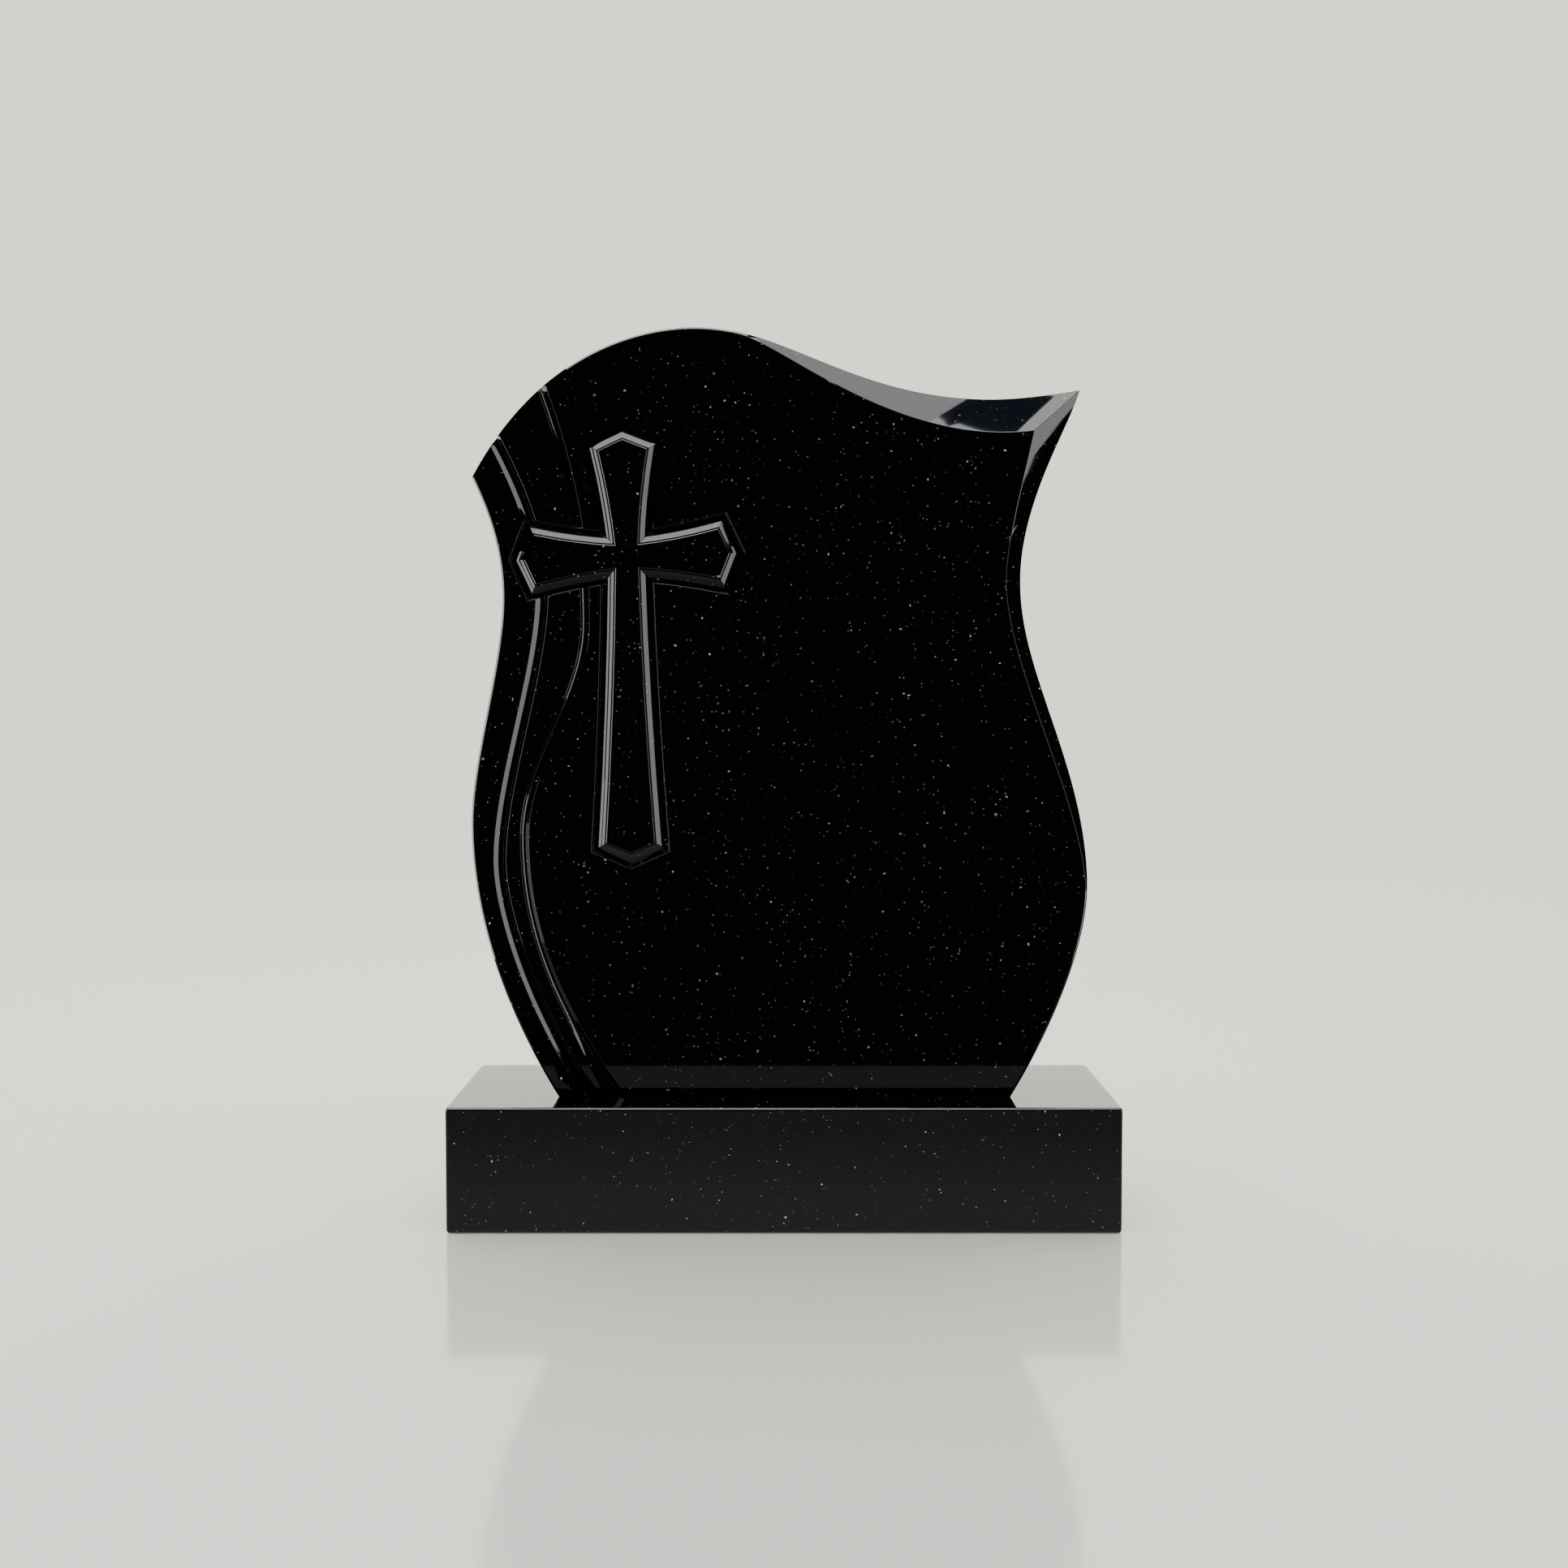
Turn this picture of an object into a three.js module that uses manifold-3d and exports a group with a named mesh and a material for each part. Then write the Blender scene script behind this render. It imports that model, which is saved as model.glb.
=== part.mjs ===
// Headstone: a polished granite tablet with a wavy outline standing on a low plinth.
// Millimetres, +Z up, front towards -Y, origin at the middle of the plinth's underside.
import * as THREE from "three";
import { ConvexGeometry } from "three/addons/geometries/ConvexGeometry.js";
import { mergeVertices } from "three/addons/utils/BufferGeometryUtils.js";
import Module from "manifold-3d";

// Overall sizes
const PLINTH_WIDTH = 640;
const PLINTH_DEPTH = 200;
const PLINTH_HEIGHT = 120;
const TABLET_WIDTH = 595;
const TABLET_HEIGHT = 739;
const TABLET_THICKNESS = 100;
const SETBACK = 45;

// Edges: a narrow arris everywhere, and a wide mitred bevel at the right tip
const ARRIS_WIDTH = 2;
const BEVEL_DEPTH = 24;

// Carving round the cross, from its edge outwards: a small step, a ledge, a hollow and a wall
const RIM_STEP = 0.8;
const RIM_LEDGE = 1.2;
const MOAT_HOLLOW = 11;
const MOAT_WALL = 1.2;
const MOAT_DEPTH = 7.6;
const MOAT_REACH = RIM_STEP + RIM_LEDGE + MOAT_HOLLOW;

// Each ribbon groove: its depth, its hollow's width at the top and at the foot, its wall's width
const LEFT_GROOVE = { depth: 5, topWidth: 8.5, footWidth: 12, wallWidth: 3.5 };
const RIGHT_GROOVE = { depth: 3, topWidth: 3.5, footWidth: 12, wallWidth: 5 };
const FLARE_START = 0.84;

// How full every hollow is: the depth that its shoulder points to, halfway across
const HOLLOW_PULL = 0.8;

// The soft roll that leads into the left groove near the foot
const ROLL_WIDTH = 24;
const ROLL_DROP = 3;
const ROLL_START = 0.8;
const ROLL_SKIM = 0.05;

// How far the cutters stand out of the face
const CUTTER_LIFT = 1;

// The cross: its centre as shares of the tablet, each arm's reach and its lean in degrees
const CROSS_CENTRE = [-0.2525, 0.7058];
const CROSS_ARMS = [
  { widthShare: 0.164, heightShare: 0, heading: 1.9 },
  { widthShare: 0, heightShare: 0.15, heading: 92.2 },
  { widthShare: 0.164, heightShare: 0, heading: 181.9 },
  { widthShare: 0, heightShare: 0.384, heading: 270.5 },
];
const NECK_SHARE = 0.0175;
const END_SHARE = 0.0385;
const POINT_SHARE = 0.0165;
const FLARE_BEND = 0.25;

// Curve steps
const EDGE_STEPS = 60;
const TIP_STEPS = 48;
const GROOVE_STEPS = 72;
const HOLLOW_STEPS = 6;
const ROLL_STEPS = 14;
const ARM_STEPS = 4;

// Outline control points: x as a share of the width from the centre line, z of the height
const LEFT_SIDE = [
  [-0.367, 0], [-0.455, 0.116], [-0.506, 0.238], [-0.506, 0.359],
  [-0.506, 0.44], [-0.453, 0.571], [-0.453, 0.654],
  [-0.453, 0.725], [-0.483, 0.776], [-0.501, 0.808],
];
const TOP_EDGE = [
  [-0.501, 0.808], [-0.381, 0.986], [-0.201, 1], [-0.144, 1],
  [0.008, 1], [0.108, 0.913], [0.331, 0.913],
  [0.38, 0.913], [0.438, 0.92], [0.48, 0.925],
];
const RIGHT_SIDE = [
  [0.48, 0.925], [0.461, 0.872], [0.3805, 0.78], [0.3825, 0.671],
  [0.3825, 0.551], [0.492, 0.436], [0.492, 0.275],
  [0.492, 0.204], [0.44, 0.094], [0.369, 0],
];

// Where the face meets the wide bevel, from the top edge round the mitre corner to the belly
const BEVEL_START = 0.476;
const BEVEL_END = 0.69;
const SWOOP_PULLS = [[0, 0.979], [0.175, 0.846]];
const MITRE_CORNER = [0.4, 0.867];
const FACE_SIDE_UPPER = [[0.388, 0.819], [0.357, 0.729], [0.357, 0.675]];
const FACE_SIDE_PULLS = [[0.357, 0.568], [0.475, 0.402]];

// The crease of each ribbon groove, from above the outline to below the foot
const LEFT_CREASE = [
  [-0.495, 0.906], [-0.427, 0.816], [-0.385, 0.73], [-0.385, 0.662],
  [-0.385, 0.558], [-0.456, 0.412], [-0.456, 0.31],
  [-0.456, 0.232], [-0.377, 0.053], [-0.272, -0.025],
];
const RIGHT_CREASE = [
  [-0.42, 0.984], [-0.33, 0.82], [-0.321, 0.7], [-0.321, 0.62],
  [-0.321, 0.521], [-0.421, 0.441], [-0.421, 0.341],
  [-0.421, 0.219], [-0.372, 0.117], [-0.245, -0.025],
];

const wasm = await Module();
wasm.setup();

// Turns a share of the tablet into a point on its face, measured from the middle of its foot.
function onTablet([x, z]) {
  return new THREE.Vector2(x * TABLET_WIDTH, z * TABLET_HEIGHT);
}

// A smooth path through every third control point.
function smoothPath(points) {
  const path = new THREE.CurvePath();
  for (let i = 0; i + 3 < points.length; i += 3) {
    path.add(new THREE.CubicBezierCurve(points[i], points[i + 1], points[i + 2], points[i + 3]));
  }
  return path;
}

// Evenly spaced points of a path between two shares of its length, both ends included.
function run(path, from, to, steps) {
  return Array.from({ length: steps + 1 }, (_, i) => path.getPointAt(from + ((to - from) * i) / steps));
}

// Moves each corner of a closed outline inwards along its mitre. The outline runs
// anticlockwise as seen from the front; a negative distance moves it outwards.
function inset(outline, distance) {
  return outline.map((point, i) => {
    const before = outline.at(i - 1);
    const after = outline[(i + 1) % outline.length];
    const a = point.clone().sub(before).normalize();
    const b = after.clone().sub(point).normalize();
    const normal = new THREE.Vector2(-a.y - b.y, a.x + b.x);
    return point.clone().addScaledVector(normal, distance / (1 + a.dot(b)));
  });
}

// Joins rings of equal length into one closed surface. The first and last ring are capped by
// their triangles in caps; with no caps the last ring joins the first again.
function skin(rings, caps = []) {
  const count = rings[0].length;
  const joints = caps.length ? rings.length - 1 : rings.length;
  const faces = [];
  for (let r = 0; r < joints; r++) {
    const next = (r + 1) % rings.length;
    for (let i = 0; i < count; i++) {
      const j = (i + 1) % count;
      const [a, b, c, d] = [r * count + i, r * count + j, next * count + j, next * count + i];
      faces.push(a, d, c, a, c, b);
    }
  }
  if (caps.length) {
    const last = (rings.length - 1) * count;
    for (const [a, b, c] of caps[0]) faces.push(a, b, c);
    for (const [a, b, c] of caps[1]) faces.push(last + a, last + c, last + b);
  }
  return toGeometry(rings.flat(2), faces);
}

// A slab between its front and back rings. Each corner is [x, depth, z].
function slab(rings) {
  const cap = (ring) => THREE.ShapeUtils.triangulateShape(ring.map(([x, , z]) => new THREE.Vector2(x, z)), []);
  return skin(rings, [cap(rings[0]), cap(rings.at(-1))]);
}

function toGeometry(corners, faces) {
  const geometry = new THREE.BufferGeometry();
  geometry.setAttribute("position", new THREE.Float32BufferAttribute(corners, 3));
  geometry.setIndex(faces);
  return geometry;
}

function toSolid(geometry) {
  const bare = geometry.clone();
  bare.deleteAttribute("normal");
  bare.deleteAttribute("uv");
  const merged = mergeVertices(bare, 1e-4);
  const mesh = new wasm.Mesh({
    numProp: 3,
    vertProperties: Float32Array.from(merged.attributes.position.array),
    triVerts: Uint32Array.from(merged.index.array),
  });
  return new wasm.Manifold(mesh);
}

function fromSolid(solid) {
  const { vertProperties, triVerts, numProp } = solid.getMesh();
  const corners = [];
  for (let i = 0; i < vertProperties.length; i += numProp) corners.push(...vertProperties.slice(i, i + 3));
  const geometry = toGeometry(corners, [...triVerts]).toNonIndexed();
  geometry.computeVertexNormals();
  return geometry;
}

// The tablet's outer outline, in runs that the face outline follows one by one.
function outerRuns() {
  const left = smoothPath(LEFT_SIDE.map(onTablet));
  const top = smoothPath(TOP_EDGE.map(onTablet));
  const right = smoothPath(RIGHT_SIDE.map(onTablet));
  return {
    foot: run(right, 1, BEVEL_END, EDGE_STEPS / 2),
    side: run(right, BEVEL_END, 0, TIP_STEPS),
    swoop: run(top, 1, BEVEL_START, TIP_STEPS),
    brow: run(top, BEVEL_START, 0, EDGE_STEPS),
    left: run(left, 1, 0, EDGE_STEPS),
  };
}

// Joins runs end to end, with each shared end taken once. The ring starts at the right foot.
function joinRuns(runs) {
  return runs.flatMap((points, i) => (i + 1 < runs.length ? points.slice(0, -1) : points));
}

// How far an outer point lies from the face line beside it, square to that line.
function squareDistance(outer, inner, along) {
  const gap = outer.clone().sub(inner);
  return Math.abs(gap.x * along.y - gap.y * along.x) / along.length();
}

// The bevelled stretch's face line, and how deep the outline lies behind each of its points.
function bevelRun(outerPoints, facePath, tipFirst) {
  const steps = outerPoints.length - 1;
  const inner = run(facePath, 0, 1, steps);
  const widths = outerPoints.map((point, i) => squareDistance(point, inner[i], facePath.getTangentAt(i / steps)));
  const tipWidth = tipFirst ? widths[0] : widths[steps];
  const depths = widths.map((width) => Math.max(ARRIS_WIDTH, (BEVEL_DEPTH * width) / tipWidth));
  return { inner, depths };
}

// The tablet before carving: face, arris and bevel, edge, back arris and back.
function tabletBlank() {
  const runs = outerRuns();
  const outer = joinRuns([runs.foot, runs.side, runs.swoop, runs.brow, runs.left]);
  const back = inset(outer, ARRIS_WIDTH);
  const last = outer.length - 1;
  back[0].y = 0;
  back[last].y = 0;
  const face = back.map((point) => point.clone());
  const depths = outer.map(() => ARRIS_WIDTH);

  const sideStart = runs.foot.length - 1;
  const tip = sideStart + TIP_STEPS;
  const swoopEnd = tip + TIP_STEPS;
  const corner = onTablet(MITRE_CORNER);
  const sidePath = smoothPath([
    face[sideStart],
    ...FACE_SIDE_PULLS.map(onTablet).reverse(),
    ...FACE_SIDE_UPPER.map(onTablet).reverse(),
    corner,
  ]);
  const swoopPath = smoothPath([corner, ...SWOOP_PULLS.map(onTablet).reverse(), face[swoopEnd]]);
  const stretches = [
    { start: sideStart, ...bevelRun(runs.side, sidePath, false) },
    { start: tip, ...bevelRun(runs.swoop, swoopPath, true) },
  ];
  for (const { start, inner, depths: deep } of stretches) {
    inner.forEach((point, i) => {
      face[start + i] = point;
      depths[start + i] = deep[i];
    });
  }
  const front = -TABLET_THICKNESS / 2;
  const rear = TABLET_THICKNESS / 2;
  return slab([
    face.map((p) => [p.x, front, p.y]),
    outer.map((p, i) => [p.x, front + depths[i], p.y]),
    outer.map((p) => [p.x, rear - ARRIS_WIDTH, p.y]),
    back.map((p) => [p.x, rear, p.y]),
  ]);
}

// How wide a groove's hollow slope is at a share of its length.
function slopeWidth({ topWidth, footWidth }, share) {
  return THREE.MathUtils.lerp(topWidth, footWidth, THREE.MathUtils.smoothstep(share, FLARE_START, 1));
}

// Sweeps a section along a crease, from a share of its length to its foot. The section's points
// are [distance to the right of the crease, depth below the face], from right to left.
function sweep(crease, from, steps, sectionAt) {
  const path = smoothPath(crease.map(onTablet));
  const face = -TABLET_THICKNESS / 2;
  const rings = run(path, from, 1, steps).map((point, i) => {
    const share = from + ((1 - from) * i) / steps;
    const along = path.getTangentAt(share);
    const across = new THREE.Vector2(-along.y, along.x);
    return sectionAt(share).map(([right, depth]) => {
      const place = point.clone().addScaledVector(across, right);
      return [place.x, face + depth, place.y];
    });
  });
  const cap = THREE.ShapeUtils.triangulateShape(sectionAt(1).map(([x, y]) => new THREE.Vector2(x, y)), []);
  return skin(rings, [cap, cap]);
}

// A hollow from its shoulder to its crease, steepest at the shoulder, as [distance, depth].
function hollow(width, depth) {
  const curve = new THREE.QuadraticBezierCurve(
    new THREE.Vector2(0, 0),
    new THREE.Vector2(width / 2, depth * HOLLOW_PULL),
    new THREE.Vector2(width, depth),
  );
  return curve.getPoints(HOLLOW_STEPS).map((p) => [p.x, p.y]);
}

// A ribbon groove's cutter: a hollow on its left, a crease, and a short wall on its right.
function grooveCutter(crease, groove) {
  return sweep(crease, 0, GROOVE_STEPS, (share) => {
    const width = slopeWidth(groove, share);
    const slope = hollow(width, groove.depth).map(([x, depth]) => [x - width, depth]);
    const [first, second] = slope;
    const shoulder = [first[0] - CUTTER_LIFT * (second[0] - first[0]) / second[1], -CUTTER_LIFT];
    const edge = groove.wallWidth * (1 + CUTTER_LIFT / groove.depth);
    return [[edge, -CUTTER_LIFT], ...slope.reverse(), shoulder];
  });
}

// The shallow rounded cut that lets the field roll over into a groove near the foot.
function rollCutter(crease, groove) {
  return sweep(crease, ROLL_START, ROLL_STEPS, (share) => {
    const growth = THREE.MathUtils.smoothstep(share, ROLL_START, 1);
    const start = slopeWidth(groove, share) + ROLL_WIDTH * growth;
    const round = Array.from({ length: HOLLOW_STEPS + 1 }, (_, i) => {
      const turn = 1 - i / HOLLOW_STEPS;
      return [-start * (1 - turn), ROLL_DROP * growth * turn ** 2 - ROLL_SKIM];
    });
    return [[0, -CUTTER_LIFT], ...round, [-start, -CUTTER_LIFT]];
  });
}

// One flared arm of the cross, from its right neck corner round its pointed end to its left.
function armOutline({ widthShare, heightShare, heading }) {
  const reach = widthShare * TABLET_WIDTH + heightShare * TABLET_HEIGHT;
  const neck = NECK_SHARE * TABLET_WIDTH;
  const end = END_SHARE * TABLET_WIDTH;
  const shoulder = reach - POINT_SHARE * TABLET_WIDTH;
  const waist = neck + (end - neck) * FLARE_BEND;
  const angle = THREE.MathUtils.degToRad(heading);
  const along = new THREE.Vector2(Math.cos(angle), Math.sin(angle));
  const across = new THREE.Vector2(-along.y, along.x);
  const at = (distance, side) => along.clone().multiplyScalar(distance).addScaledVector(across, side);
  const edge = (sign) => new THREE.QuadraticBezierCurve(
    at(neck, sign * neck),
    at((neck + shoulder) / 2, sign * waist),
    at(shoulder, sign * end),
  ).getPoints(ARM_STEPS);
  return [...edge(-1), at(reach, 0), ...edge(1).reverse()];
}

// The cross's outline on the face, anticlockwise as seen from the front.
function crossOutline() {
  const points = CROSS_ARMS.flatMap((arm) => armOutline(arm).slice(0, -1));
  return points.map((point) => point.add(onTablet(CROSS_CENTRE)));
}

// The moat round the cross: a wall down from the field, a hollow back up and a stepped rim.
function moatCutter(outline) {
  const front = -TABLET_THICKNESS / 2;
  const ring = (out, depth) => inset(outline, -out).map((p) => [p.x, front + depth, p.y]);
  const slope = hollow(MOAT_HOLLOW, MOAT_DEPTH - RIM_STEP).reverse();
  return skin([
    ring(MOAT_REACH + MOAT_WALL * (1 + CUTTER_LIFT / MOAT_DEPTH), -CUTTER_LIFT),
    ...slope.map(([x, depth]) => ring(RIM_STEP + RIM_LEDGE + x, RIM_STEP + depth)),
    ring(RIM_STEP, RIM_STEP),
    ring(-CUTTER_LIFT, -CUTTER_LIFT),
  ]);
}

// The stone under the cross, which keeps the ribbon grooves from crossing it.
function crossCore(outline) {
  const front = -TABLET_THICKNESS / 2;
  const foot = inset(outline, -MOAT_REACH);
  return slab([
    foot.map((p) => [p.x, front - 2 * CUTTER_LIFT, p.y]),
    foot.map((p) => [p.x, front + 2 * LEFT_GROOVE.depth, p.y]),
  ]);
}

function tabletGeometry() {
  const outline = crossOutline();
  const grooves = toSolid(grooveCutter(LEFT_CREASE, LEFT_GROOVE))
    .add(toSolid(rollCutter(LEFT_CREASE, LEFT_GROOVE)))
    .add(toSolid(grooveCutter(RIGHT_CREASE, RIGHT_GROOVE)))
    .subtract(toSolid(crossCore(outline)));
  const carved = toSolid(tabletBlank()).subtract(grooves).subtract(toSolid(moatCutter(outline)));
  return fromSolid(carved);
}

// A block with every edge taken off by the arris.
function plinthGeometry() {
  const half = new THREE.Vector3(PLINTH_WIDTH, PLINTH_DEPTH, PLINTH_HEIGHT).multiplyScalar(0.5);
  const corners = [];
  for (const axis of ["x", "y", "z"]) {
    const reach = half.clone().subScalar(ARRIS_WIDTH);
    reach[axis] = half[axis];
    for (const x of [-reach.x, reach.x]) {
      for (const y of [-reach.y, reach.y]) {
        for (const z of [-reach.z, reach.z]) corners.push(new THREE.Vector3(x, y, z));
      }
    }
  }
  return new ConvexGeometry(corners);
}

const polishedGranite = new THREE.MeshStandardMaterial({ color: 0x0b0b0c, roughness: 0.08, metalness: 0 });

const plinth = new THREE.Mesh(plinthGeometry(), polishedGranite);
plinth.name = "plinth";
plinth.position.z = PLINTH_HEIGHT / 2;

const tablet = new THREE.Mesh(tabletGeometry(), polishedGranite.clone());
tablet.name = "tablet";
tablet.position.set(0, SETBACK + (TABLET_THICKNESS - PLINTH_DEPTH) / 2, PLINTH_HEIGHT);

const headstone = new THREE.Group();
headstone.add(plinth, tablet);

export default headstone;
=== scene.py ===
# %% [markdown]
# # A polished black granite headstone
# A memorial tablet with a wavy outline stands on a low plinth. A cross and a two-grooved ribbon
# are carved in its left side, and its right shoulder ends in a bevelled tip.
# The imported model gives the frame, so every size and place below is in metres in that frame, with
# the front of the stone towards -Y and the floor at Z 0. Loading it first means that nothing here
# has to guess where the stone stands.

# %% Load the frame
import math
import bpy
import bmesh
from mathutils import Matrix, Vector


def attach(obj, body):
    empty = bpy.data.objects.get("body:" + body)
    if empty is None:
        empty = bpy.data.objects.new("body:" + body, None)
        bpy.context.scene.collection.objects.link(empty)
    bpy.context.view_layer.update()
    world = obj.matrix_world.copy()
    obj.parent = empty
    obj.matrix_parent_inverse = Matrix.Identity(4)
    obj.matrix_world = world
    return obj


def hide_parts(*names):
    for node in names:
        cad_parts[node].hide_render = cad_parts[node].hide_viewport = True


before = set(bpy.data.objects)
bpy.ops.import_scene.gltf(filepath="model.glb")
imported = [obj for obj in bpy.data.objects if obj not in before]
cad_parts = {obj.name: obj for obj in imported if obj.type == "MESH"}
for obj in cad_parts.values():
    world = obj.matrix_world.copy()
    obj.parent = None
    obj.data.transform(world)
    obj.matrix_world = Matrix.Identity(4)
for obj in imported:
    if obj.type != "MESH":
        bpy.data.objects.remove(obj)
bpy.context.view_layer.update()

MM = 0.001

# %% [markdown]
# ## A clean copy to work on
# The frame's own nodes are loose triangles and stay as they are. Each finished piece starts as a
# copy: its points are merged, its faces turned outwards, and flat areas joined to large faces.
# Modelling the stone again by hand would lose the exact outline, so a copy is the better start.
# Operators act on whatever is selected, and loading leaves the nodes selected. So each step
# first deselects everything, and edges and points are picked in code, by their place or angle.

# %% Select one object alone
def only(obj):
    """Selects one object alone and makes it active."""
    for other in bpy.context.selected_objects:
        other.select_set(False)
    obj.select_set(True)
    bpy.context.view_layer.objects.active = obj


# %% Copy a node and join its triangles
MERGE_DISTANCE = 0.02 * MM
SHORTEST_EDGE = 0.5 * MM
FLAT_WITHIN = math.radians(0.1)
QUAD_BEND = math.radians(3)
QUAD_SKEW = math.radians(60)


def copy_of(node_name, piece_name):
    """A new piece with its own copy of a frame node's mesh, its loose triangles joined."""
    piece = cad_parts[node_name].copy()
    piece.data = piece.data.copy()
    piece.name = piece.data.name = piece_name
    piece.parent = None
    bpy.context.scene.collection.objects.link(piece)
    only(piece)
    bpy.ops.object.mode_set(mode="EDIT")
    bpy.ops.mesh.select_all(action="SELECT")
    bpy.ops.mesh.remove_doubles(threshold=MERGE_DISTANCE)
    bpy.ops.mesh.normals_make_consistent(inside=False)
    bpy.ops.mesh.dissolve_limited(angle_limit=FLAT_WITHIN)
    bpy.ops.mesh.select_all(action="SELECT")
    bpy.ops.mesh.tris_convert_to_quads(face_threshold=QUAD_BEND, shape_threshold=QUAD_SKEW)
    bpy.ops.mesh.dissolve_degenerate(threshold=SHORTEST_EDGE)
    bpy.ops.object.mode_set(mode="OBJECT")
    print(piece.name, "starts with", len(piece.data.polygons), "faces")
    return piece


tablet = copy_of("tablet", "headstone_tablet")
plinth = copy_of("plinth", "headstone_plinth")

# %% [markdown]
# ## The hollow round the cross
# On the real stone the cross stands level with the face, and a hollow is ground all round it.
# Its slopes are gentle enough to mirror the lights at the side as bright bands. At the frame's
# full depth they rendered dark, and at 0.78 of that depth the bands show.
# The hollow could be cut anew, but squashing its points towards the face keeps the exact plan.
# So the points within reach of the cross are selected, and the resize tool lowers their depth.

# %% Find the points of the hollow
CROSS_MIDDLE = Vector((-0.153, -0.055, 0.6))
RIM_DEPTH = 0.8 * MM
BELOW_RIM = RIM_DEPTH + 0.05 * MM
HOLLOW_REACH = 13.1 * MM
DEEPEST_GROOVE = 5.05 * MM
DEEPEST_CARVING = 10 * MM
LEVEL_WITH_FACE = 0.1 * MM
FACING_FRONT = -0.9999


def front_of(points):
    """The place along Y of the frontmost point, which is the polished face."""
    return min(point.co.y for point in points)


def plan_distance(point, outline):
    """The distance from a point to a closed outline, seen from the front."""
    best = math.inf
    for start, end in zip(outline, outline[1:] + outline[:1]):
        along = end - start
        share = max(0.0, min(1.0, (point - start).dot(along) / along.length_squared))
        best = min(best, (point - start - along * share).length)
    return best


def cross_outline(mesh):
    """The corners of the cross's own level face, seen from the front."""
    front = front_of(mesh.vertices)
    level = [face for face in mesh.polygons
             if face.normal.y < FACING_FRONT and face.center.y < front + LEVEL_WITH_FACE]
    cross = min(level, key=lambda face: (face.center - CROSS_MIDDLE).length)
    return [Vector((mesh.vertices[i].co.x, mesh.vertices[i].co.z)) for i in cross.vertices]


def in_hollow(point, front, outline):
    """Whether a point lies in the hollow. The ribbon's grooves are never as deep as its floor."""
    depth = point.co.y - front
    if depth < BELOW_RIM or depth > DEEPEST_CARVING:
        return False
    away = plan_distance(Vector((point.co.x, point.co.z)), outline)
    return away < HOLLOW_REACH or depth > DEEPEST_GROOVE and away < 2 * HOLLOW_REACH


# %% Ease the hollow
EASED_SHARE = 0.78


def ease_hollow(piece):
    """Brings the slopes and the floor of the hollow a little nearer to the face."""
    outline = cross_outline(piece.data)
    only(piece)
    bpy.ops.object.mode_set(mode="EDIT")
    bpy.ops.mesh.select_mode(type="VERT")
    bpy.ops.mesh.select_all(action="DESELECT")
    mesh = bmesh.from_edit_mesh(piece.data)
    front = front_of(mesh.verts)
    eased = [vert for vert in mesh.verts if in_hollow(vert, front, outline)]
    for vert in eased:
        vert.select_set(True)
    mesh.select_flush_mode()
    bmesh.update_edit_mesh(piece.data)
    rim_level = (0, front + RIM_DEPTH, 0)
    bpy.ops.transform.resize(value=(1, EASED_SHARE, 1), orient_type="GLOBAL", center_override=rim_level)
    bpy.ops.object.mode_set(mode="OBJECT")
    print("points of the hollow eased", len(eased), "round a cross of", len(outline), "corners")


ease_hollow(tablet)

# %% [markdown]
# ## Rounded arrises
# No edge of a real stone is a knife edge. The polisher's pad takes each one off, by about a
# millimetre at the outline and less in the carving, and that narrow round is what draws the thin
# bright lines along the stone. A Bevel modifier could make it too, from edge weights. Picking the
# edges in code, by their angle and place, and giving them to the bevel tool is shorter.

# %% Round the edges that are sharp enough
SHARP = math.radians(25)
OUTER_DEPTH = 12 * MM


def is_outer(edge, front):
    """Whether an edge of the face borders the outline, where the stone goes deep behind it."""
    at_front = max(vert.co.y for vert in edge.verts) < front + LEVEL_WITH_FACE
    deepest = max(vert.co.y for face in edge.link_faces for vert in face.verts)
    return at_front and deepest - front > OUTER_DEPTH


def round_arrises(piece, width, segments, outer_only=False):
    """Rounds every sharp edge, or only those between the face and the outline."""
    only(piece)
    bpy.ops.object.mode_set(mode="EDIT")
    bpy.ops.mesh.select_all(action="DESELECT")
    bpy.ops.mesh.select_mode(type="EDGE")
    mesh = bmesh.from_edit_mesh(piece.data)
    front = front_of(mesh.verts)
    rounded = 0
    for edge in mesh.edges:
        sharp = edge.is_manifold and edge.calc_face_angle() > SHARP
        edge.select_set(sharp and (not outer_only or is_outer(edge, front)))
        rounded += edge.select
    bpy.ops.mesh.bevel(offset=width, segments=segments, profile=0.5, clamp_overlap=False, loop_slide=True)
    bpy.ops.mesh.select_all(action="SELECT")
    bpy.ops.mesh.remove_doubles(threshold=MERGE_DISTANCE)
    bpy.ops.object.mode_set(mode="OBJECT")
    print(piece.name, "edges rounded", rounded, "by", round(width / MM, 2), "mm")


OUTLINE_ROUND = 1.1 * MM
CARVING_ROUND = 0.35 * MM
PLINTH_ROUND = 0.9 * MM
round_arrises(tablet, OUTLINE_ROUND, 4, outer_only=True)
round_arrises(tablet, CARVING_ROUND, 2)
round_arrises(plinth, PLINTH_ROUND, 3)

# %% [markdown]
# ## A true polish
# A polished slab is as flat as glass, and any bend in its shading shows at once in what it mirrors.
# Plain smooth shading would bend the large faces at their rims. So the flat faces get hard rims,
# and the Weighted Normal modifier lets wide facets lead and narrow rounds follow. The carved
# slopes stay smooth, which a flat shading would break into strips.

# %% Shade the stone
SMOOTH_BELOW = math.radians(30)
SQUARE_TO_FRAME = 0.99999
BY_AREA_ALONE = 50


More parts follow.
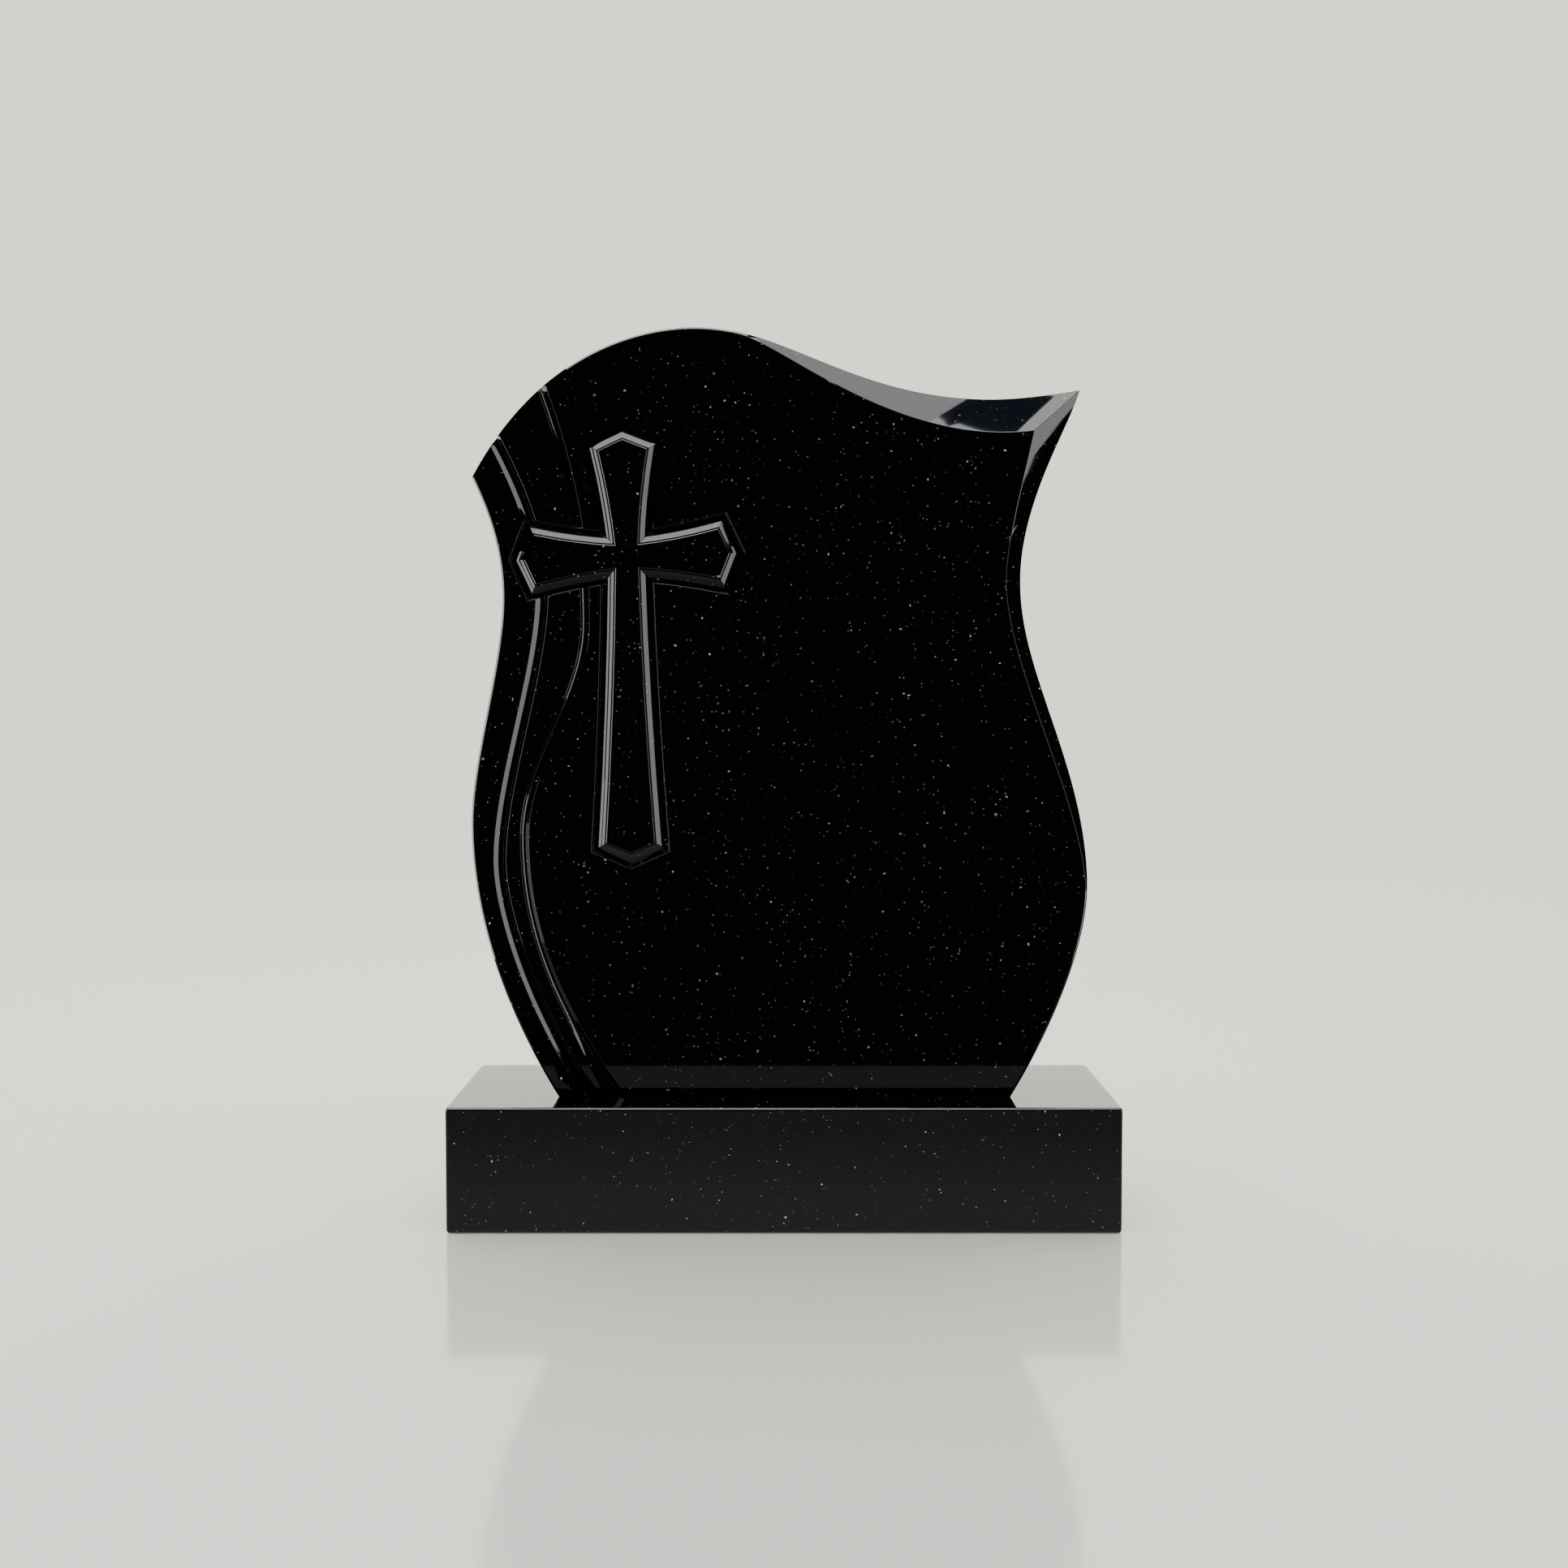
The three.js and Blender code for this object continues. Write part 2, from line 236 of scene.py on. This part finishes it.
def polish(piece):
    """Smooth shading over gentle angles, while each large flat face stays a true mirror."""
    only(piece)
    bpy.ops.object.shade_smooth_by_angle(angle=SMOOTH_BELOW)
    bpy.ops.object.mode_set(mode="EDIT")
    mesh = bmesh.from_edit_mesh(piece.data)
    for edge in mesh.edges:
        flat = [max(abs(c) for c in face.normal) > SQUARE_TO_FRAME for face in edge.link_faces]
        if any(flat) and not all(flat):
            edge.smooth = False
    bmesh.update_edit_mesh(piece.data)
    bpy.ops.object.mode_set(mode="OBJECT")
    weighting = piece.modifiers.new("wide facets lead", "WEIGHTED_NORMAL")
    weighting.mode = "FACE_AREA"
    weighting.weight = BY_AREA_ALONE
    weighting.keep_sharp = True
    bpy.ops.object.modifier_apply(modifier=weighting.name)
    print(piece.name, "ends with", len(piece.data.polygons), "faces")


polish(tablet)
polish(plinth)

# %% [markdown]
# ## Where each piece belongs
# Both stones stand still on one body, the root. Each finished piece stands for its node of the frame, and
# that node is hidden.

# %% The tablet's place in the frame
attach(tablet, "root")
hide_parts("tablet")
print(tablet.name, "stands for the frame's tablet")

# %% The plinth's place in the frame
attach(plinth, "root")
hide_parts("plinth")
print(plinth.name, "stands for the frame's plinth")

# %% [markdown]
# ## Colours and nodes
# Colours are picked as sRGB hex values, as on a screen, while the shader works in linear light, so
# one function turns them. Another adds a node with its settings and its links, which keeps each
# material readable from top to bottom.

# %% Helpers for materials
def linear(hex_colour):
    """An sRGB hex colour as the linear values that the shader works in."""
    parts = [int(hex_colour[i:i + 2], 16) / 255 for i in (1, 3, 5)]
    return [c / 12.92 if c <= 0.04045 else ((c + 0.055) / 1.055) ** 2.4 for c in parts] + [1.0]


def add_node(tree, kind, settings=None, links=None):
    """Adds a node, sets its properties and plain inputs, and joins other nodes' outputs to it."""
    node = tree.nodes.new("ShaderNode" + kind)
    for name, value in (settings or {}).items():
        if isinstance(name, int) or name in node.inputs:
            node.inputs[name].default_value = value
        else:
            setattr(node, name, value)
    for name, output in (links or {}).items():
        tree.links.new(output, node.inputs[name])
    return node


def new_material(name):
    """An empty material and its node tree."""
    material = bpy.data.materials.new(name)
    material.use_nodes = True
    material.node_tree.nodes.clear()
    return material, material.node_tree


# A Mix node that blends colours has its share, its two colours and its result at these sockets.
SHARE, FIRST, SECOND, MIXED = 0, 6, 7, 2
print("near white in linear light", [round(c, 3) for c in linear("#e6e4e0")[:3]])

# %% [markdown]
# ## The granite's flecks
# Black granite of this kind is scattered with small angular crystals that catch the light. Most
# are faint and under a millimetre, a few are pale and up to two, and they gather in loose drifts.
# A Voronoi pattern gives angular cells, each with its own number. Only the few cells whose number
# passes a bar become flecks, and a slow noise moves the bar, which makes the drifts. Painting
# them on would need a picture, and modelling thousands of crystals would show nothing more.
# The finest real crystals are smaller than the smallest drawn here, because anything finer falls
# between the pixels of a render.

# %% One size of fleck
DRIFT_GRAINS = 9
DRIFT_STRENGTH = 0.9
DRIFT_LOW = 0.35
DRIFT_HIGH = 0.65
FAINTNESS = 3.5


def flecks(tree, place, grain, share):
    """Where flecks of one size show and how strongly, and a number that picks each one's tint."""
    cells = add_node(tree, "TexVoronoi", {
        "Scale": 1 / grain,
        "Randomness": 1.0,
        "distance": "MANHATTAN",
    }, {"Vector": place})
    number = add_node(tree, "SeparateColor", {}, {"Color": cells.outputs["Color"]})
    drifts = add_node(tree, "TexNoise", {
        "Scale": 1 / (DRIFT_GRAINS * grain),
        "Detail": 1.0,
    }, {"Vector": place})
    bar = add_node(tree, "MapRange", {
        "From Min": DRIFT_LOW,
        "From Max": DRIFT_HIGH,
        "To Min": 1 - share * (1 - DRIFT_STRENGTH),
        "To Max": 1 - share * (1 + DRIFT_STRENGTH),
    }, {"Value": drifts.outputs["Fac"]})
    chosen = add_node(tree, "Math", {"operation": "GREATER_THAN"}, {
        0: number.outputs["Red"],
        1: bar.outputs["Result"],
    })
    strength = add_node(tree, "Math", {"operation": "POWER", 1: FAINTNESS}, {0: number.outputs["Green"]})
    shown = add_node(tree, "Math", {"operation": "MULTIPLY"}, {
        0: chosen.outputs[0],
        1: strength.outputs[0],
    })
    return shown.outputs[0], number.outputs["Blue"]


# %% [markdown]
# ## Granite, polished and honed
# The front, the sides and the tops are polished to a mirror. The back and the underside are only
# honed, which is usual where nobody looks: fine scratches scatter the light, so the same stone
# looks dark grey and dull. One function makes both, because only the roughness and the body's
# tone differ. The body is never one flat black: a fine noise moves it between two near blacks.

# %% The granite
GRANITE_IOR = 1.54
BODY_GRAIN = 3 * MM
FLECK_WHITE = "#e6e4e0"
FLECK_TAN = "#d6bfa9"
FLECK_SIZES = (
    (0.75 * MM, 0.0040),
    (1.15 * MM, 0.0022),
    (1.7 * MM, 0.0010),
)


def granite(name, roughness, dark, light):
    """A black stone body with three sizes of pale fleck, each with its share of the surface."""
    material, tree = new_material(name)
    place = add_node(tree, "TexCoord").outputs["Object"]
    grain = add_node(tree, "TexNoise", {"Scale": 1 / BODY_GRAIN, "Detail": 3.0}, {"Vector": place})
    body = add_node(tree, "Mix", {
        "data_type": "RGBA",
        FIRST: linear(dark),
        SECOND: linear(light),
    }, {SHARE: grain.outputs["Fac"]})
    colour = body.outputs[MIXED]
    for size, share in FLECK_SIZES:
        shown, kind = flecks(tree, place, size, share)
        tint = add_node(tree, "Mix", {
            "data_type": "RGBA",
            FIRST: linear(FLECK_WHITE),
            SECOND: linear(FLECK_TAN),
        }, {SHARE: kind})
        layer = add_node(tree, "Mix", {"data_type": "RGBA"}, {
            SHARE: shown,
            FIRST: colour,
            SECOND: tint.outputs[MIXED],
        })
        colour = layer.outputs[MIXED]
    surface = add_node(tree, "BsdfPrincipled", {
        "Roughness": roughness,
        "IOR": GRANITE_IOR,
    }, {"Base Color": colour})
    add_node(tree, "OutputMaterial", {}, {"Surface": surface.outputs[0]})
    print(name, "has", len(tree.nodes), "nodes")
    return material


# A sharp mirror over near black, in which the flecks seem to float.
polished = granite("polished black granite with pale flecks", 0.03, "#020202", "#050505")
# A soft grey sheen, with the same flecks less bright against it.
honed = granite("honed black granite with pale flecks", 0.38, "#141414", "#1e1e1e")

# %% Put the granite on
FACING = 0.95
for piece in (tablet, plinth):
    piece.data.materials.clear()
    piece.data.materials.append(polished)
    piece.data.materials.append(honed)
    for face in piece.data.polygons:
        face.material_index = int(face.normal.y > FACING or face.normal.z < -FACING)
    dull = sum(face.material_index for face in piece.data.polygons)
    print(piece.name, "has", dull, "honed faces")

# %% [markdown]
# ## The floor
# The stone stands on a plain pale floor that mirrors it faintly. The polish mirrors the floor as
# well, and on the real stone that mirrored floor is dimmer than the floor itself and ends a little
# way in front. One panel can't be both, so the floor is hidden from mirror rays, and a dimmer sheet
# just under it takes its place in what the stone mirrors. It is brighter close to the plinth.

# %% Panels of the studio
FLOOR_HALF = 6.0
FLOOR_BACK = 3.4


def panel(name, x_range, y_range, z_range, material):
    """A flat stage panel, level where both heights are the same and upright otherwise."""
    (left, right), (near, far), (low, high) = x_range, y_range, z_range
    mesh = bpy.data.meshes.new(name)
    corners = [(left, near, low), (right, near, low), (right, far, high), (left, far, high)]
    mesh.from_pydata(corners, [], [(0, 1, 2, 3)])
    mesh.materials.append(material)
    obj = bpy.data.objects.new(name, mesh)
    bpy.context.scene.collection.objects.link(obj)
    return obj


def glowing(name, hex_colour, strength, grading=None):
    """A plain glow. A grading gives two places along Y and the glow's strength at each."""
    material, tree = new_material(name)
    glow = add_node(tree, "Emission", {"Color": linear(hex_colour), "Strength": strength})
    add_node(tree, "OutputMaterial", {}, {"Surface": glow.outputs[0]})
    if grading:
        (far, near), (dim, bright) = grading
        place = add_node(tree, "TexCoord").outputs["Object"]
        axes = add_node(tree, "SeparateXYZ", {}, {"Vector": place})
        ramp = add_node(tree, "MapRange", {
            "From Min": far,
            "From Max": near,
            "To Min": dim,
            "To Max": bright,
        }, {"Value": axes.outputs["Y"]})
        tree.links.new(ramp.outputs["Result"], glow.inputs["Strength"])
    return material


# %% The floor and its mirrored twin
floor_paint, floor_tree = new_material("pale studio floor")
floor_surface = add_node(floor_tree, "BsdfPrincipled", {
    "Base Color": linear("#ebe5dc"),
    "Roughness": 0.10,
    "Specular IOR Level": 0.9,
})
add_node(floor_tree, "OutputMaterial", {}, {"Surface": floor_surface.outputs[0]})
floor = panel("studio_floor", (-FLOOR_HALF, FLOOR_HALF), (-FLOOR_HALF, FLOOR_BACK), (0, 0), floor_paint)
floor.visible_glossy = False

MIRRORED_HALF = 0.9
MIRRORED_FRONT = -0.785
MIRRORED_BACK = 2.0
JUST_UNDER = -1 * MM
GRADED_FROM_TO = (-0.5, -0.2)
GRADED_GLOW = (0.9, 1.5)
mirrored_floor = panel(
    "studio_floor_as_mirrored",
    (-MIRRORED_HALF, MIRRORED_HALF),
    (MIRRORED_FRONT, MIRRORED_BACK),
    (JUST_UNDER, JUST_UNDER),
    glowing("floor as the polish mirrors it", "#978e8e", 1.0, (GRADED_FROM_TO, GRADED_GLOW)),
)
mirrored_floor.visible_camera = False
mirrored_floor.visible_diffuse = False
mirrored_floor.visible_shadow = False
print("floor", FLOOR_HALF * 2, "m wide, mirrored part", MIRRORED_HALF * 2, "m wide")

# %% [markdown]
# ## Soft boxes
# Polished black stone has hardly any colour of its own. It is seen by the lights that it mirrors,
# as a photographer of glassware knows, so each soft box is there for certain facets. A facet that
# slopes back by an angle mirrors what lies at twice that angle, and tracing that line to the
# planes beside and above the stone gave each box its edges. Gaps between the boxes are as
# important as the boxes: a facet that faces a gap stays black or navy.

# %% Make a soft box
def soft_box(name, centre, target, width, height, radiance, tint="#ffffff"):
    """A rectangular area light that faces its target, its power worked out from its brightness."""
    data = bpy.data.lights.new(name, "AREA")
    data.shape = "RECTANGLE"
    data.size = width
    data.size_y = height
    data.energy = radiance * math.pi * width * height
    data.color = linear(tint)[:3]
    light = bpy.data.objects.new(name, data)
    light.location = centre
    light.rotation_euler = (Vector(target) - Vector(centre)).to_track_quat("-Z", "Y").to_euler()
    bpy.context.scene.collection.objects.link(light)
    light.visible_camera = False
    print(name, round(width, 2), "by", round(height, 2), "m,", round(data.energy), "W")


def upright_box(name, x, y_range, z_range, radiance):
    """A soft box in an upright plane at x, facing the stone."""
    centre = (x, sum(y_range) / 2, sum(z_range) / 2)
    size = (y_range[1] - y_range[0], z_range[1] - z_range[0])
    soft_box(name, centre, (0, centre[1], centre[2]), *size, radiance)


def overhead_box(name, x_range, y_range, z, radiance, tint="#ffffff"):
    """A soft box in a level plane at z, facing down."""
    centre = (sum(x_range) / 2, sum(y_range) / 2, z)
    size = (x_range[1] - x_range[0], y_range[1] - y_range[0])
    soft_box(name, centre, (centre[0], centre[1], 0), *size, radiance, tint)


# Each row below gives a box's name, its range along Y or X, its range along Z or Y, and its
# brightness. The boxes at the sides reach below the floor, which the polish doesn't see.
SIDE = 3.0
OVERHEAD = 3.2
LOWEST = -2.0

# %% Boxes on the left
# The slopes that face left mirror these. The gap in their middle keeps the wall of the ribbon's
# right groove dark, and lower down a dim box fills the gap.
LEFT_SPLIT = 0.42
LEFT_GLOW = 5.5
LEFT_DIM_GLOW = 1.2
for name, y_range, z_range, radiance in (
    ("left_low_soft_box", (-1.05, 2.4), (LOWEST, LEFT_SPLIT), LEFT_GLOW),
    ("left_dim_soft_box", (-1.30, -1.05), (LOWEST, LEFT_SPLIT), LEFT_DIM_GLOW),
    ("left_low_front_soft_box", (-2.0, -1.30), (LOWEST, LEFT_SPLIT), LEFT_GLOW),
    ("left_soft_box", (-1.12, 0.5), (LEFT_SPLIT, 1.1), LEFT_GLOW),
    ("left_front_soft_box", (-2.0, -1.41), (LEFT_SPLIT, 1.1), LEFT_GLOW),
):
    upright_box(name, -SIDE, y_range, z_range, radiance)

# %% Boxes on the right
# The slopes that face right mirror these, and what faces the gaps between them stays black, such
# as the outer half of the right bevel.
RIGHT_SPLIT = -1.03
RIGHT_LOW_GLOW = 5.0
RIGHT_GLOW = 3.8
for name, y_range, z_range, radiance in (
    ("right_low_soft_box", (RIGHT_SPLIT, 0.4), (LOWEST, 0.0), RIGHT_LOW_GLOW),
    ("right_front_soft_box", (-2.5, RIGHT_SPLIT), (LOWEST, 1.38), RIGHT_GLOW),
    ("right_high_soft_box", (-2.5, RIGHT_SPLIT), (2.5, 3.6), RIGHT_GLOW),
):
    upright_box(name, SIDE, y_range, z_range, radiance)

# %% Boxes overhead
# The slopes that face up mirror these. A wide and dim blue box above them shows through the gaps,
# which gives the navy part of the top bevel near its tip.
TOP_SPLIT = -0.36
MIDDLE_LEFT = 0.33
MIDDLE_RIGHT = 0.82
OVERHEAD_GLOW = 6.0
UPPER_RIGHT_GLOW = 4.0
SKY_GLOW = 0.3
SKY_LIFT = 0.1
SKY_BLUE = "#7d9cc9"
for name, x_range, y_range, radiance in (
    ("overhead_soft_box", (-1.8, 1.8), (TOP_SPLIT, 2.1), OVERHEAD_GLOW),
    ("upper_left_soft_box", (-1.8, MIDDLE_LEFT), (-1.6, TOP_SPLIT), OVERHEAD_GLOW),
    ("upper_middle_soft_box", (MIDDLE_LEFT, MIDDLE_RIGHT), (-1.8, -0.60), OVERHEAD_GLOW),
    ("upper_right_soft_box", (MIDDLE_RIGHT, 1.35), (-1.65, TOP_SPLIT), UPPER_RIGHT_GLOW),
):
    overhead_box(name, x_range, y_range, OVERHEAD, radiance)
overhead_box("upper_sky", (-2.0, 2.4), (-3.2, -0.3), OVERHEAD + SKY_LIFT, SKY_GLOW, SKY_BLUE)

# %% [markdown]
# ## Surroundings
# The camera sees an even pale studio, but the stone has to mirror darkness wherever no soft box
# stands. The world tells the two apart by the kind of ray, which a single colour couldn't do. A
# glowing backdrop, seen only in mirrors, gives the pale top of the plinth.

# %% World and backdrop
world = bpy.data.worlds.new("pale studio")
bpy.context.scene.world = world
world.use_nodes = True
tree = world.node_tree
tree.nodes.clear()
seen = add_node(tree, "LightPath")
pale = add_node(tree, "Background", {"Color": linear("#e2dccd"), "Strength": 2.1})
dark = add_node(tree, "Background", {"Color": linear("#1c1e22"), "Strength": 1.0})
mix = add_node(tree, "MixShader", {}, {
    0: seen.outputs["Is Camera Ray"],
    1: dark.outputs[0],
    2: pale.outputs[0],
})
add_node(tree, "OutputWorld", {}, {"Surface": mix.outputs[0]})

BACKDROP_HEIGHT = 5.0
backdrop = panel(
    "studio_backdrop",
    (-FLOOR_HALF, FLOOR_HALF),
    (FLOOR_BACK, FLOOR_BACK),
    (0, BACKDROP_HEIGHT),
    glowing("lit pale backdrop", "#dedbd0", 3.2),
)
backdrop.visible_camera = False
backdrop.visible_diffuse = False
print("backdrop", BACKDROP_HEIGHT, "m high, seen only in mirrors")

# %% [markdown]
# ## The camera
# It stands straight in front of the stone, at a little over half its height, and looks down by
# under three degrees. A 40 mm lens at that distance gives the plinth's top its slight taper. There
# is no depth of field, because the whole stone is sharp.

# %% Place the camera
CAMERA_DISTANCE = 1.7279
CAMERA_HEIGHT = 0.4992
LOOKS_DOWN = 2.5735
LENS = 40
SENSOR = 36
camera_data = bpy.data.cameras.new("camera")
camera_data.sensor_width = SENSOR
camera_data.lens = LENS
camera = bpy.data.objects.new("camera", camera_data)
camera.location = (0, -CAMERA_DISTANCE, CAMERA_HEIGHT)
camera.rotation_euler = (math.radians(90 - LOOKS_DOWN), 0, 0)
bpy.context.scene.collection.objects.link(camera)
bpy.context.scene.camera = camera
print("camera at", [round(c, 3) for c in camera.location])

# %% [markdown]
# ## Finish
# Last, the view layer is brought up to date.

# %% Finish
bpy.context.view_layer.update()
